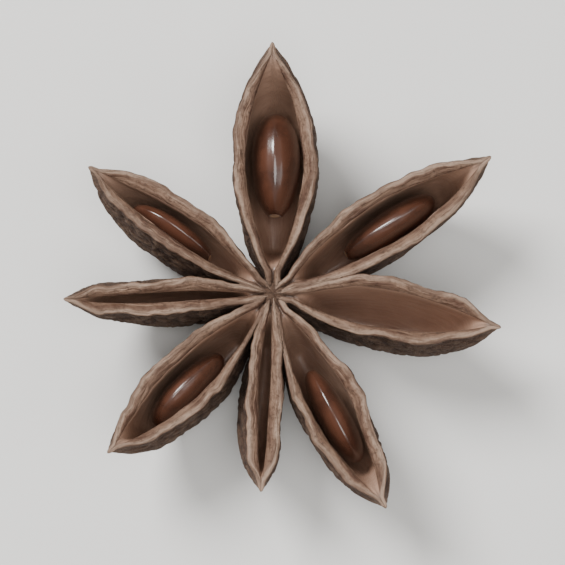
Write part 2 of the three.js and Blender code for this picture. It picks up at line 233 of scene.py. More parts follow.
# ---- The form of a follicle ----
class FollicleForm:
    """Where the walls of one follicle run. Its methods take t, the share of its length from
    the hub axis at 0 to the beak's tip at 1."""

    # Shares of the length.
    INNER_END = 0.02
    DIMPLE_END = 0.1
    RIM_LEVEL = 0.45  # the lips have climbed to their full height here
    RISE_START, BEAK_START, SLIM_START = 0.7, 0.8, 0.82
    FULLEST, DEEPEST = 0.54, 0.5
    MOUTH_START, MOUTH_END = 0.09, 0.955
    HOLLOW_START, HOLLOW_SLOPE = 0.1, 0.14  # where its floor drops, and over how much
    HOLLOW_CLOSING, HOLLOW_RISE = 0.8, 0.14  # where it rises again, and over how much
    HEALING_START, HEALING = 0.9, 0.06  # where the seam heals over, and over how much
    BOAT_END = 0.985
    SEED_CENTRE, SEED_LENGTH = 0.55, 0.43

    # How square and how blunt the boat's outer end is, and how the mouth is drawn inwards.
    DEPTH_TAPER, WIDTH_TAPER = (2.1, 0.85), (2.2, 0.85)
    MOUTH_SKEW, MOUTH_POINT = 0.95, 0.9

    # Shares of a section.
    HUB_DEPTH_SHARE, HUB_LIP_SHARE = 0.66, 0.55
    HUB_SHARE = 0.96  # of the angle that the neighbours leave free near the hub
    CLOSED_BELLY, OPEN_BELLY, WIDEST_GAPE = 0.42, 0.62, 0.7  # height of the fullest level
    LEAST_TOP = 0.3  # width of the top, of the full width
    TIP_SLIMNESS = 0.2  # size of lips and seam at the tip
    HEALED_WIDTH, HEALED_DEPTH = 0.7, 0.6  # how much of the seam has gone where it is healed

    # Lengths.
    SEAM = 0.05 * MM  # half width of the groove where the lips still touch
    SEAM_DEPTH = 0.4 * MM
    LIP_ROUNDING = 0.18 * MM
    BEAK_DEPTH, BEAK_HALF_WIDTH = 1.0 * MM, 0.4 * MM
    BEAK_POINT = 0.13 * MM  # half width at the very tip
    HUB_HALF_WIDTH = 0.45 * MM
    HUB_POINT = 0.07 * MM  # half width of the top over the hub axis
    FUSING = 0.1 * MM  # how far neighbours' flanks grow into each other near the hub

    def __init__(self, sizes, follicle):
        self.sizes = sizes
        self.follicle = follicle
        self.reach = follicle.reach * sizes.reach
        self.depth = follicle.depth * sizes.depth
        self.half_width = follicle.width * sizes.width / 2
        openness = clamp01(follicle.gape / self.WIDEST_GAPE)
        self.belly = mix(self.CLOSED_BELLY, self.OPEN_BELLY, openness)
        turns = sorted((other.angle - follicle.angle) % 360 for other in FOLLICLES)[1:]
        self.spread = {
            1: math.tan(math.radians(self.HUB_SHARE * turns[0] / 2)),
            -1: math.tan(math.radians(self.HUB_SHARE * (360 - turns[-1]) / 2)),
        }

    def rim(self, t):
        """Height of the lips."""
        dimple = self.sizes.dimple * (1 - smooth(t / self.DIMPLE_END))
        lift = self.follicle.rise * MM * clamp01((t - self.RISE_START) / (1 - self.RISE_START)) ** 2
        climb = mix(self.sizes.hub_height, self.sizes.rim_height, smooth(t / self.RIM_LEVEL))
        return climb - dimple + lift

    def boat_taper(self, t, start, squareness, bluntness):
        """Size of the boat beyond its largest section, from 1 down to 0 at the beak."""
        along = clamp01((t - start) / (self.BOAT_END - start))
        return (1 - along**squareness) ** bluntness

    def beak(self, t):
        """0 on the boat, 1 at the beak's tip."""
        return smooth((t - self.BEAK_START) / (1 - self.BEAK_START))

    def depth_at(self, t):
        """Rim to keel."""
        beak = mix(self.BEAK_DEPTH, 2 * self.BEAK_POINT, self.beak(t))
        inward = mix(self.HUB_DEPTH_SHARE, 1, np.sin(np.pi * np.minimum(t, self.DEEPEST)))
        outward = self.boat_taper(t, self.DEEPEST, *self.DEPTH_TAPER)
        return beak + (self.depth - beak) * np.where(t < self.DEEPEST, inward, outward)

    def half_width_at(self, t):
        """Half the width at the fullest level."""
        beak = mix(self.BEAK_HALF_WIDTH, self.BEAK_POINT, self.beak(t))
        taper = self.boat_taper(t, self.FULLEST, *self.WIDTH_TAPER)
        outward = beak + (self.half_width - beak) * taper
        swell = np.sin(np.pi / 2 * clamp01(t / self.FULLEST))
        inward = mix(self.HUB_HALF_WIDTH, self.half_width, swell)
        return np.where(t < self.FULLEST, inward, outward)

    def wedge(self, t, sign):
        """The half width that the neighbour on one side leaves free near the hub."""
        return self.HUB_POINT + self.spread[sign] * t * self.reach

    def mouth(self, t):
        """0 where the lips touch, 1 where the mouth is widest."""
        along = clamp01((t - self.MOUTH_START) / (self.MOUTH_END - self.MOUTH_START))
        return np.abs(np.sin(np.pi * along**self.MOUTH_SKEW)) ** self.MOUTH_POINT

    def slimming(self, t):
        """1 along the boat, and less towards the tip."""
        return mix(1, self.TIP_SLIMNESS, smooth((t - self.SLIM_START) / (1 - self.SLIM_START)))

    def healed(self, t):
        """1 on the beak, where the seam has healed over, and 0 elsewhere."""
        return smooth((t - self.HEALING_START) / self.HEALING)

    def lip(self, t):
        """Width of a lip: narrow at the hub, and slimmer again on the beak."""
        widening = mix(self.HUB_LIP_SHARE, 1, smooth(t / self.RIM_LEVEL))
        return self.sizes.lip * self.slimming(t) * widening

    def gape(self, t):
        """Half the width of the mouth, or of the seam where the lips touch."""
        seam = self.SEAM * self.slimming(t) * (1 - self.HEALED_WIDTH * self.healed(t))
        return seam + self.mouth(t) * self.follicle.gape * self.half_width

    def hollow(self, t):
        """The hollow's floor height and half width."""
        closing = smooth((t - self.HOLLOW_CLOSING) / self.HOLLOW_RISE)
        share = smooth((t - self.HOLLOW_START) / self.HOLLOW_SLOPE) * (1 - closing)
        seam = self.SEAM_DEPTH * self.slimming(t) * (1 - self.HEALED_DEPTH * self.healed(t))
        keel = self.rim(t) - self.depth_at(t)
        floor = mix(self.rim(t) - seam, keel + self.sizes.keel_wall, share)
        inside = np.maximum(self.gape(t), self.half_width_at(t) - self.sizes.wall)
        return floor, mix(self.gape(t), inside, share)

    def to_pod(self, t, sideways, height):
        """Bends, leans and turns points of the follicle's own frame into the pod's."""
        lean = np.radians(self.follicle.lean) * smooth(t)
        pivot = self.sizes.rim_height / 2
        leant = sideways * np.cos(lean) - (height - pivot) * np.sin(lean)
        bent = leant + self.follicle.curl * MM * t * t
        lifted = pivot + sideways * np.sin(lean) + (height - pivot) * np.cos(lean)
        turn = math.radians(self.follicle.angle)
        x = t * self.reach * math.cos(turn) - bent * math.sin(turn)
        y = t * self.reach * math.sin(turn) + bent * math.cos(turn)
        return np.stack(np.broadcast_arrays(x, y, lifted), -1)


# ---- Meshes ----
def tube_faces(rows, columns):
    """Quads of a grid whose columns close into rings, with a face over each open end."""
    ring = np.arange(rows * columns).reshape(rows, columns)
    after = np.roll(ring, -1, 1)
    quads = np.stack([ring[:-1], after[:-1], after[1:], ring[1:]], -1).reshape(-1, 4)
    return [*quads.tolist(), ring[0, ::-1].tolist(), ring[-1].tolist()]


def tube_normals(points):
    """Unit normals of a grid whose columns close into rings."""
    around = np.roll(points, -1, 1) - np.roll(points, 1, 1)
    along = np.gradient(points, axis=0)
    normals = np.cross(around, along)
    return normals / np.maximum(np.linalg.norm(normals, axis=-1, keepdims=True), 1e-12)


def set_layer(mesh, name, values):
    """Keeps one value, or a vector, for each point of the mesh."""
    kind, field = ("FLOAT_VECTOR", "vector") if values.ndim > 1 else ("FLOAT", "value")
    layer = mesh.attributes.new(name, kind, "POINT")
    layer.data.foreach_set(field, values.astype(np.float32).ravel())


def get_vectors(collection, name):
    """One vector for each item of a mesh's collection."""
    values = np.zeros(len(collection) * 3, np.float32)
    collection.foreach_get(name, values)
    return values.reshape(-1, 3).astype(float)


def get_layer(mesh, name):
    """The value, or the vector, that each point of the mesh has."""
    layer = mesh.attributes[name]
    if layer.data_type == "FLOAT_VECTOR":
        return get_vectors(layer.data, "vector")
    values = np.zeros(len(mesh.vertices), np.float32)
    layer.data.foreach_get("value", values)
    return values


def neighbours_mean(mesh):
    """A function that averages values, or vectors, over the neighbours of each point."""
    edges = np.zeros(len(mesh.edges) * 2, np.int32)
    mesh.edges.foreach_get("vertices", edges)
    a, b = edges.reshape(-1, 2).T
    ends, others = np.concatenate([a, b]), np.concatenate([b, a])
    points = len(mesh.vertices)
    count = np.maximum(np.bincount(ends, minlength=points), 1)

    def mean(values):
        if values.ndim > 1:
            return np.stack([mean(column) for column in values.T], -1)
        return np.bincount(ends, values[others], minlength=points) / count

    return mean


def add_object(name, mesh):
    mesh.shade_smooth()
    made = bpy.data.objects.new(name, mesh)
    bpy.context.scene.collection.objects.link(made)
    return made


def add_tube(name, points, **layers):
    """An object from a grid of points whose columns close into rings."""
    rows, columns = points.shape[:2]
    mesh = bpy.data.meshes.new(name)
    mesh.from_pydata(points.reshape(-1, 3).tolist(), [], tube_faces(rows, columns))
    for layer, values in layers.items():
        set_layer(mesh, layer, values.reshape((rows * columns,) + values.shape[2:]))
    return add_object(name, mesh)


# ---- The husk ----
# A layer of the skin's relief: its height, as a share of the wrinkles' depth; its paces along
# a follicle and up its flank, per millimetre; how far the drift of the wrinkles carries it
# both ways; and how narrow its creases are, or 0 for lumps.
Relief = namedtuple("Relief", "height along around drift_along drift_around narrowness")

# Scattered pits: their paces both ways, their place in the noise, its gain and least level.
Pits = namedtuple("Pits", "along around place gain level")


class HuskGrower:
    """Grows each follicle and the hub as closed, wrinkled meshes, and fuses them into one."""

    INSIDE, LIP, SKIN = 0.0, 1.0, 2.0  # the zones of the husk's surface
    NOISE_SEEDS = 11, 12, 13, 14
    KEEL_STEPS, FLANK_STEPS, LIP_STEPS, WALL_STEPS, FLOOR_STEPS = 22, 20, 10, 7, 5
    CROWDING, CROWDING_POWER = 0.6, 1.5
    TIP_ROUNDING, TIP_CLOSING = 0.978, 0.98

    # Steps through the noise for each degree and each side, so that no two flanks are alike.
    LIP_KEYS, SKIN_KEYS = (0.37, 5), (1.7, 6)

    # Waves along the lips: the height, pace and place in the noise of each.
    SWAY = (0.11, 5, 3.1), (0.045, 17, 1.4)  # up and down, in millimetres
    GAPE_WAVES = (0.11, 4, 8.3), (0.05, 14, 6.6)  # shares of the mouth's width
    LIP_WAVES = (0.24, 6, 5.7), (0.13, 19, 2.2)  # shares of a lip's width
    LIP_SQUARENESS = 3.4
    SHUT_SLOPE = 0.3  # a lip's slope where the mouth is shut, of its full slope
    WALL_TURN = 1.4  # the wall turns in at least this far down, in lip roundings

    DRIFT, DRIFT_PACE = 0.9, 0.45
    LUMPS = Relief(0.6, 0.42, 0.6, 0, 1, 0)
    CREASES = Relief(-0.75, 0.55, 1.0, 1, 1.4, 3.4)
    FINE_CREASES = Relief(-0.6, 1.25, 1.9, 1, -1, 3.0)
    CREASE_EDGE = 1.4  # how sharp a crease's bottom is
    SHUT_RELIEF = 0.35  # where the mouth is shut, of the full relief
    RIM_RELIEF, RIM_START, RIM_FADE = 0.25, 0.01, 0.15  # near the rim, fading downwards
    MARGIN_LEVEL, MARGIN_WIDTH, MARGIN_DEPTH = 0.07, 0.035, 0.06 * MM
    DENTS, NICKS = Pits(0.16, 0.2, 40, 1.4, 0), Pits(1.3, 1.6, 20, 1, 0.25)
    NICK_DEPTH = 0.14 * MM
    SEAM_FADE = 0.22  # the painted shade in the shut seam has gone where the mouth is this open

    # The hub's outline up to the column: shares of the radius, and heights in millimetres.
    STALK_OUTLINE = (0.05, 0), (0.6, 0), (0.96, 0), (1, 0.06), (0.92, 0.6), (1.25, 0.9)
    RECEPTACLE_OUTLINE = (0.8, 1.2), (1, 1.6), (0.85, 2.3), (0.5, 3.2)
    SHOULDER = 0.5 * MM  # the column's full radius ends this far below the lips
    DIMPLE_RADIUS, MIDDLE_RADIUS = 0.45, 0.05  # of the column's
    DIMPLE_MIDDLE = 0.9  # of the dimple's depth
    HUB_SEGMENTS, HUB_STEPS = 120, 6
    CRUMPLE, CRUMPLE_PACES = 0.16 * MM, (1.6, 0.8)  # round the hub, and up it
    CRUMPLE_START, CRUMPLE_END = 0.4 * MM, 0.8 * MM  # it fades over these at both ends
    BARE_TOP, BARE_FADE = 1.2 * MM, 0.4 * MM  # bare wood from this far below the lips
    BROKEN_END = 0.02 * MM  # and on the stub's end, below this

    SOFT_SPREAD, SOFT_FALL, SOFT_GAIN = 3, 0.9, 2.5  # how the softening spreads from a seam
    SOFT_ROUNDS, SOFT_MOVE = 6, 0.5
    HUB_BLEND, HUB_TOP = 0.5 * MM, 0.7  # radius and least height of the softened middle
    RELIEF_REACH, RELIEF_DEPTH = 14, 0.07 * MM

    def __init__(self, sizes):
        self.sizes = sizes
        self.lumps, self.creases, self.fine_creases, self.warp = map(Noise, self.NOISE_SEEDS)

    def stations(self):
        """They crowd towards the beak, where the outline turns fastest."""
        s = np.linspace(0, 1, self.sizes.stations)[:, None]
        crowded = 1 - (1 - s) ** self.CROWDING_POWER
        return mix(FollicleForm.INNER_END, 1, mix(s, crowded, self.CROWDING))

    def waves(self, layers, t, key):
        """Uneven waves along a follicle, laid over each other."""
        return sum(height * self.warp(t * pace, key, place) for height, pace, place in layers)

    def side(self, form, t, sign):
        """Half a section, from beside the keel over the lip and down the hollow: sideways
        and height coordinates, zones, and the way round in millimetres from the lip's outer
        edge. No two lips are cut quite alike."""
        key = form.follicle.angle * self.LIP_KEYS[0] + self.LIP_KEYS[1] * sign
        mouth = form.mouth(t)
        rim = form.rim(t) + MM * self.waves(self.SWAY, t, key) * mouth
        gape = form.gape(t) * (1 + self.waves(self.GAPE_WAVES, t, key))
        keel = form.rim(t) - form.depth_at(t)
        full = np.minimum(form.half_width_at(t), form.wedge(t, sign) + form.FUSING)
        level = keel + (rim - keel) * form.belly
        lip = form.lip(t) * (1 + self.waves(self.LIP_WAVES, t, key))
        outer = np.maximum(gape + lip, full * form.LEAST_TOP)
        outer = np.minimum(outer, form.wedge(t, sign))
        edge = form.LIP_ROUNDING * form.slimming(t)
        slope = self.sizes.lip_slope * form.slimming(t) * mix(self.SHUT_SLOPE, 1, mouth)
        slope = slope * (1 - form.healed(t))
        floor, inside = form.hollow(t)
        inner_rim = rim - edge - slope
        turn = np.minimum(level, rim - self.WALL_TURN * edge - slope)
        turn = np.maximum(turn, mix(floor, inner_rim, 0.5))

        def steps(count, end):
            return np.linspace(0, end, count + 1)[None]

        a = steps(self.KEEL_STEPS, np.pi / 2)[:, 1:]
        keel_part = full * np.sin(a), level - (level - keel) * np.cos(a)
        s = steps(self.FLANK_STEPS, 1)[:, 1:]
        flank_part = mix(full, outer, smooth(s)), mix(level, rim - edge, s)
        u = (1 - np.cos(steps(self.LIP_STEPS + 1, np.pi)[:, 1:-1])) / 2
        crown = 1 - np.abs(2 * u - 1) ** self.LIP_SQUARENESS
        lip_part = mix(outer, gape, u), rim - edge * (1 - crown) - slope * u
        s = steps(self.WALL_STEPS, 1)[:, :-1]
        wall_part = mix(gape, inside, smooth(s)), mix(inner_rim, turn, s)
        a = steps(self.FLOOR_STEPS, np.pi / 2)[:, :-1]
        floor_part = inside * np.cos(a), turn - (turn - floor) * np.sin(a)

        parts = []
        for (v, w), value in (
            (keel_part, self.SKIN), (flank_part, self.SKIN), (lip_part, self.LIP),
            (wall_part, self.INSIDE), (floor_part, self.INSIDE),
        ):
            parts.append(np.broadcast_arrays(v, w, value + 0 * t))
        sideways, height, zone = (np.concatenate(part, 1) for part in zip(*parts))
        arc = np.cumsum(np.hypot(np.diff(sideways, axis=1), np.diff(height, axis=1)), 1)
        arc = np.concatenate([0 * t, arc], 1)
        edge_arc = arc[:, self.KEEL_STEPS + self.FLANK_STEPS - 1][:, None]
        return sign * sideways, height, zone, (arc - edge_arc) / MM

    def sections(self, form, t):
        """Closed rings at every station: keel, right side, hollow floor, and left side back.
        Gives what a side gives. The way round is below 0 on the skin."""
        right = self.side(form, t, 1)
        left = [part[:, ::-1] for part in self.side(form, t, -1)]
        keel = 0 * t, form.rim(t) - form.depth_at(t), 0 * t + self.SKIN, right[3][:, :1]
        floor = 0 * t, form.hollow(t)[0], 0 * t + self.INSIDE, right[3][:, -1:]
        return [np.concatenate(parts, 1) for parts in zip(keel, right, floor, left)]

    def relief(self, along, around, key):
        """How far the skin stands out, from -1 or so in a crease to 1 on a lump. Lengths are
        in millimetres, along the follicle and up its flank from the keel."""
        drift = self.warp(along * self.DRIFT_PACE, around * self.DRIFT_PACE, key) * self.DRIFT
        total = 0
        for noise, layer in (
            (self.lumps, self.LUMPS), (self.creases, self.CREASES),
            (self.fine_creases, self.FINE_CREASES),
        ):
            x = along * layer.along + layer.drift_along * drift
            y = around * layer.around + layer.drift_around * drift
            value = noise(x, y, key)
            if layer.narrowness:
                value = (1 - clamp01(np.abs(value) * layer.narrowness)) ** self.CREASE_EDGE
            total = total + layer.height * value
        return total

    @staticmethod
    def pits(noise, kind, along, around, key):
        """0 between the pits, and up to 1 in them."""
        value = noise(along * kind.along, around * kind.around, key + kind.place)
        return clamp01(value * kind.gain - kind.level)

    def follicle(self, follicle):
        """One follicle as a closed mesh, with the layers that its finish reads."""
        form = FollicleForm(self.sizes, follicle)
        t = self.stations()
        sideways, height, zone, around = self.sections(form, t)
        along = np.broadcast_to(t * form.reach / MM, around.shape)
        key = follicle.angle * self.SKIN_KEYS[0] + self.SKIN_KEYS[1] * np.sign(sideways)
        beyond = clamp01((t - self.TIP_ROUNDING) / (1 - self.TIP_ROUNDING))
        tip = np.sqrt(1 - beyond**2 * self.TIP_CLOSING)
        middle = form.rim(t) - form.depth_at(t) / 2
        sideways, height = sideways * tip, middle + (height - middle) * tip
        points = form.to_pod(t, sideways, height)
        normals = tube_normals(points)

        # The skin is smooth and a little drawn in just under the lips.
        below_rim = (form.rim(t) - height) / self.sizes.depth
        skin = (zone == self.SKIN) * mix(self.SHUT_RELIEF, 1, form.mouth(t) ** 0.5)
        fade = smooth((below_rim - self.RIM_START) / self.RIM_FADE)
        wrinkled = skin * mix(self.RIM_RELIEF, 1, fade)
        margin = skin * smooth(1 - np.abs(below_rim - self.MARGIN_LEVEL) / self.MARGIN_WIDTH)
        relief = self.relief(along, around, key) * wrinkled
        dents = self.pits(self.lumps, self.DENTS, along, around, key) * wrinkled
        nicks = self.pits(self.creases, self.NICKS, along, around, key) * (zone == self.LIP)
        shift = self.sizes.wrinkle * relief - self.sizes.dent * dents
        shift = shift - self.MARGIN_DEPTH * margin - self.NICK_DEPTH * nicks * form.mouth(t)
        points = points + normals * shift[..., None]
        points[..., 2] = np.maximum(points[..., 2], 0)
        # The seam layer marks the inside of a shut seam, for painted shade; the sunk layer, how far
        # below the lips a point lies, steers painted shade in the hollow.
        seam = (1 - smooth(form.mouth(t) / self.SEAM_FADE)) * (zone == self.INSIDE)
        return add_tube(
            f"follicle_{follicle.angle}", points,
            zone=zone, along=t + 0 * zone, sunk=clamp01(below_rim), seam=seam,
            grain=np.stack([along, around, key], -1), grown=np.ones(zone.shape),
        )

    def hub(self):
        """The stalk's stub, the receptacle and the column, turned round the axis."""
        stalk, wide = self.sizes.stalk_radius, self.sizes.receptacle_radius
        column, dimple, top = self.sizes.column_radius, self.sizes.dimple, self.sizes.hub_height
        outline = np.array([
            *((stalk * share, height * MM) for share, height in self.STALK_OUTLINE),
            *((wide * share, height * MM) for share, height in self.RECEPTACLE_OUTLINE),
            (column, top - self.SHOULDER),
            (column * self.DIMPLE_RADIUS, top - dimple),
            (column * self.MIDDLE_RADIUS, top - dimple * self.DIMPLE_MIDDLE),
        ])
        share = np.linspace(0, 1, self.HUB_STEPS, endpoint=False)[:, None]
        spans = [mix(start, end, share) for start, end in zip(outline, outline[1:])]
        profile = np.concatenate([*spans, outline[-1:]])
        turn = np.linspace(0, 2 * np.pi, self.HUB_SEGMENTS, endpoint=False)[None]
        radius, height = profile[:, :1], profile[:, 1:] + 0 * turn
        pace, climb = self.CRUMPLE_PACES
        crumple = self.creases(np.cos(turn) * pace, np.sin(turn) * pace, height / MM * climb)
        crumple = crumple * smooth(height / self.CRUMPLE_START)
        crumple = crumple * smooth((top - height) / self.CRUMPLE_END)
        radius = radius + self.CRUMPLE * crumple
        bare = smooth((height - top + self.BARE_TOP) / self.BARE_FADE)
        nothing = 0 * height
        return add_tube(
            "hub", np.stack([radius * np.cos(turn), radius * np.sin(turn), height], -1),
            zone=self.SKIN - bare - (height < self.BROKEN_END),
            along=nothing, sunk=nothing + 0.5, seam=nothing,
            grain=np.stack([height / MM, turn * 2 + nothing, nothing], -1), grown=nothing + 1,
        )

    def fuse(self, name):
        """One closed mesh from the hub and all follicles."""
        hub = self.hub()
        parts = bpy.data.collections.new("follicles")
        for follicle in FOLLICLES:
            parts.objects.link(self.follicle(follicle))
        join = hub.modifiers.new("join", "BOOLEAN")
        join.operation, join.operand_type, join.solver = "UNION", "COLLECTION", "MANIFOLD"
        join.collection = parts
        joined = hub.evaluated_get(bpy.context.evaluated_depsgraph_get())
        mesh = bpy.data.meshes.new_from_object(joined)
        mesh.name = name
        mesh.materials.clear()
        for part in [hub, *parts.objects]:
            bpy.data.objects.remove(part)
        bpy.data.collections.remove(parts)
        self.drop_pockets(mesh)
        grown = self.fill_layers(mesh)
        self.soften(mesh, grown)
        return add_object(name, mesh)

    @staticmethod
    def drop_pockets(mesh):
        """Removes the closed pockets of air between follicles that touch, which nothing shows."""
        shape = bmesh.new()
        shape.from_mesh(mesh)
        waiting, shells = set(shape.verts), []
        while waiting:
            shell, fresh = set(), [waiting.pop()]
            while fresh:
                point = fresh.pop()
                shell.add(point)
                near = {link.other_vert(point) for link in point.link_edges} & waiting
                waiting -= near
                fresh.extend(near)
            shells.append(shell)
        shells.sort(key=len)
        pockets = [point for shell in shells[:-1] for point in shell]
        bmesh.ops.delete(shape, geom=pockets, context="VERTS")
        shape.to_mesh(mesh)
        shape.free()

    @staticmethod
    def fill_layers(mesh):
        """Gives the points made where the parts were fused what their nearest neighbour has
        in every layer. Tells which points were there before."""
        grown = get_layer(mesh, "grown") > 0.5
        mesh.attributes.remove(mesh.attributes["grown"])
        places = get_vectors(mesh.vertices, "co")
        tree = KDTree(int(grown.sum()))
        for i in np.flatnonzero(grown):
            tree.insert(places[i], i)
        tree.balance()
        new = np.flatnonzero(~grown)
        nearest = [tree.find(places[i])[1] for i in new]
        for name in ("zone", "along", "sunk", "seam", "grain"):
            values = get_layer(mesh, name)
            values[new] = values[nearest]
            mesh.attributes.remove(mesh.attributes[name])
            set_layer(mesh, name, values)
        return grown

    def soften(self, mesh, grown):
        """Rounds the creases where the parts were fused, and the middle of the hub. Then it
        keeps how far each point stands out: ridges above 0, creases below."""
        mean = neighbours_mean(mesh)
        places = get_vectors(mesh.vertices, "co")
        softness = (~grown).astype(float)
        for _ in range(self.SOFT_SPREAD):
            spread = self.SOFT_FALL * clamp01(self.SOFT_GAIN * mean(softness))
            softness = np.maximum(softness, spread)
        middle = smooth(1 - np.hypot(places[:, 0], places[:, 1]) / self.HUB_BLEND)
        on_top = places[:, 2] > self.sizes.hub_height * self.HUB_TOP
        softness = np.maximum(softness, middle * on_top)
        for _ in range(self.SOFT_ROUNDS):
            places += (mean(places) - places) * (self.SOFT_MOVE * softness)[:, None]
        places[:, 2] = np.maximum(places[:, 2], 0)
        mesh.vertices.foreach_set("co", places.astype(np.float32).ravel())

        normals = get_vectors(mesh.vertex_normals, "vector")
        level = places
        for _ in range(self.RELIEF_REACH):
            level = mean(level)
        stands_out = np.sum((places - level) * normals, -1)
        set_layer(mesh, "relief", np.clip(stands_out / self.RELIEF_DEPTH, -1, 1))


# ---- The seeds ----
class SeedGrower:
    """Grows flattened eggs on edge in their follicles, each with its blunt end outwards and
    the scar that it hung by at the narrow end."""

    RINGS, SEGMENTS = 72, 96
    POLE = 0.02  # the first and last rings stay this far from the ends, in radians
    ROUNDNESS = 0.9  # under 1, the ends are fuller than a ball's
    BLUNTNESS = 0.1  # how much fuller the outer end is
    UNEVENNESS, UNEVEN_PACE = 0.018, 1.6
    LINE_WIDTH, LINE_HEIGHT, LINE_FADE = 0.2, 0.02, 0.5  # the line along the upper edge
    SCAR_WIDTH, SCAR_DEPTH = 0.035, 0.05

    def __init__(self, sizes):
        self.sizes = sizes

    def grow(self, name, follicle):
        """One seed as a closed mesh, with the layers that its finish reads."""
        form = FollicleForm(self.sizes, follicle)
        wobble = Noise(follicle.angle)
        floor, inside = form.hollow(np.array(form.SEED_CENTRE))
        half_thickness = min(self.sizes.seed_thickness / 2, float(inside) - self.sizes.seed_gap)
        half_length = form.reach * form.SEED_LENGTH / 2
        half_height = follicle.depth * self.sizes.seed_height / 2
        centre = float(floor) + self.sizes.seed_gap + half_height
        a = np.linspace(self.POLE, np.pi - self.POLE, self.RINGS)[:, None]
        turn = np.linspace(0, 2 * np.pi, self.SEGMENTS, endpoint=False)[None]
        x = -np.cos(a) + 0 * turn
        girth = np.sin(a) ** self.ROUNDNESS * (1 + self.BLUNTNESS * x)
        pace = self.UNEVEN_PACE
        uneven = 1 + self.UNEVENNESS * wobble(x * pace, np.cos(turn) * pace, np.sin(turn) * pace)
        y, z = girth * uneven * np.cos(turn), girth * uneven * np.sin(turn)
        line = smooth(1 - np.abs(y) / self.LINE_WIDTH) * (z > 0)
        line = line * smooth((1 - x) / self.LINE_FADE)
        z = z * (1 + self.LINE_HEIGHT * line)
        scar = smooth(1 - (1 + x) / self.SCAR_WIDTH)
        x = x + self.SCAR_DEPTH * scar
        points = form.to_pod(
            form.SEED_CENTRE + x * half_length / form.reach,
            y * half_thickness, centre + z * half_height,
        )
        return add_tube(name, points, scar=scar, line=line)


# ---- Finishes ----
# A texture's scale, in turns per millimetre or one for each axis of the grain; how many
# finer layers it has and how strong they are; and how far it is swirled.
Texture = namedtuple("Texture", "scale detail roughness swirl", defaults=(3, 0.55, 0.0))


class Wire:
    """A single value from a node's socket, for use in Python expressions."""

    def __init__(self, finish, socket):
        self.finish, self.socket = finish, socket

    def math(self, operation, *values, clamp=False):
        return self.finish.node(
            "ShaderNodeMath", {"operation": operation, "use_clamp": clamp},
            dict(enumerate(values)),
        )

    def __add__(self, other):
        return self.math("ADD", self, other)

    def __sub__(self, other):
        return self.math("SUBTRACT", self, other)

    def __rsub__(self, other):
        return self.math("SUBTRACT", other, self)

    def __mul__(self, other):
        return self.math("MULTIPLY", self, other)

    __radd__, __rmul__ = __add__, __mul__

    def clamped(self):
        return self.math("ADD", self, 0.0, clamp=True)

    def size(self):
        return self.math("ABSOLUTE", self)

    def swing(self, amount):
        """A texture about its middle, by this amount from one extreme to the other."""
        return (self - 0.5) * amount

    def between(self, low, high):
        """0 below low and 1 above high, with a smooth step between them."""
        return self.finish.node(
            "ShaderNodeMapRange", {"interpolation_type": "SMOOTHSTEP"},
            {"Value": self, "From Min": low, "From Max": high},
        )

    def lines(self, width):
        """1 along the lines where a texture passes its middle, and 0 beside them."""
        return 1 - (self - 0.5).size().between(0.0, width)


class Finish:
    """A material under construction."""

    def __init__(self, name, **constants):
        self.material = bpy.data.materials.new(name)
        self.material.use_nodes = True
        self.tree = self.material.node_tree
        self.shader = self.tree.nodes["Principled BSDF"]
        for socket, value in constants.items():
            self.shader.inputs[socket.replace("_", " ")].default_value = value

    def node(self, kind, settings=None, inputs=None, output=0):
        """Adds a node, and returns the named or numbered output."""
        made = self.tree.nodes.new(kind)
        for name, value in (settings or {}).items():
            setattr(made, name, value)
        for name, value in (inputs or {}).items():
            self.feed(made.inputs[name], value)
        return Wire(self, made.outputs[output])

    def feed(self, socket, value):
        """Links a wire to a socket, or sets the socket to a value or colour."""
        if isinstance(value, Wire):
            self.tree.links.new(value.socket, socket)
        elif socket.type == "RGBA":
            socket.default_value = (*value, 1)
        else:
            socket.default_value = value

    def layer(self, name, output="Fac"):
        """What the mesh keeps for each of its points under this name."""
        return self.node("ShaderNodeAttribute", {"attribute_name": name}, output=output)

    def place(self):
        """The point on the piece, in millimetres."""
        here = self.node("ShaderNodeTexCoord", output="Object")
        return self.scaled(here, (1 / MM,) * 3)

    def scaled(self, vector, by):
        return self.node("ShaderNodeVectorMath", {"operation": "MULTIPLY"}, {0: vector, 1: by})

    def noise(self, vector, texture):
        scale = texture.scale
        if isinstance(scale, tuple):
            vector, scale = self.scaled(vector, scale), 1
        return self.node("ShaderNodeTexNoise", inputs={
            "Vector": vector, "Scale": scale, "Detail": texture.detail,
            "Roughness": texture.roughness, "Distortion": texture.swirl,
        })

    def blend(self, a, b, share):
        """From colour a to colour b."""
        inputs = {0: share, 6: a, 7: b}
        return self.node("ShaderNodeMix", {"data_type": "RGBA"}, inputs, output=2)

    def bump(self, height):
        """Bumps from a height in millimetres."""
        inputs = {"Height": height, "Distance": MM, "Strength": 1.0}
        return self.node("ShaderNodeBump", inputs=inputs)

    def finish(self, **sockets):
        """Feeds the shader's sockets, and gives the material."""
        for socket, value in sockets.items():
            self.feed(self.shader.inputs[socket.replace("_", " ")], value)
        return self.material


